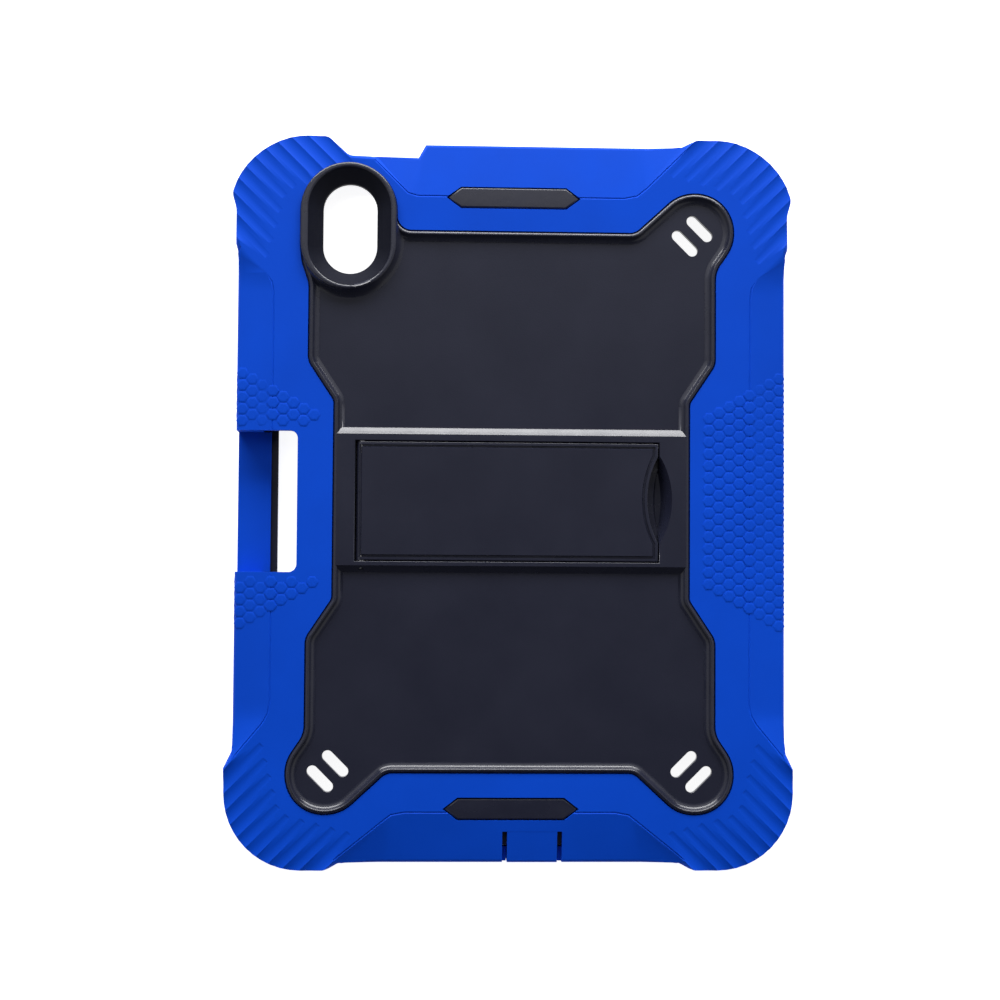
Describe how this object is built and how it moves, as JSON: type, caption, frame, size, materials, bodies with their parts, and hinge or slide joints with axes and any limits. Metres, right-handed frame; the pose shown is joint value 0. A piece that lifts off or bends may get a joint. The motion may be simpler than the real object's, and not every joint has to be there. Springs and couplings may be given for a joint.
{
  "type": "tablet case",
  "caption": "Rugged tablet case: ribbed silicone skin over a hard shell, with a fold-out kickstand, camera opening, strap slots and a port flap.",
  "frame": {"origin": "centre of the bounding box's foot: the case lies on its front lip, with its screen side down", "axes": "+Z out of the case's back, +Y to the end with the camera opening, +X away from the stylus cut-out"},
  "size_m": [0.2084, 0.27, 0.0194],
  "materials": {
    "silicone": "moulded silicone, matte, deep blue",
    "shell": "moulded polycarbonate, fine grain with polished rims, black",
    "pin_steel": "plain steel"
  },
  "bodies": {
    "case": {"silicone_skin": "silicone", "rear_shell": "shell", "front_frame": "shell", "kickstand_pin_upper": "pin_steel", "kickstand_pin_lower": "pin_steel"},
    "kickstand": {"kickstand": "shell"},
    "port_flap": {"port_flap": "silicone"},
    "volume_up": {"volume_up_button": "silicone"},
    "volume_down": {"volume_down_button": "silicone"}
  },
  "joints": [
    {"name": "kickstand_hinge", "type": "hinge", "parent": "case", "child": "kickstand", "pos_m": [-0.0551, -0.00038, 0.0156], "axis": [0, -1, 0], "range_deg": [0, 75]},
    {"name": "port_flap_hinge", "type": "hinge", "parent": "case", "child": "port_flap", "pos_m": [0.00825, -0.1208, 0.01618], "axis": [-1, 0, 0], "range_deg": [0, 100], "stiffness_Nm_per_rad": 0.01},
    {"name": "volume_up_press", "type": "slide", "parent": "case", "child": "volume_up", "axis": [1, 0, 0], "range_m": [0, 0.0008], "stiffness_N_per_m": 1500},
    {"name": "volume_down_press", "type": "slide", "parent": "case", "child": "volume_down", "axis": [1, 0, 0], "range_m": [0, 0.0008], "stiffness_N_per_m": 1500}
  ]
}
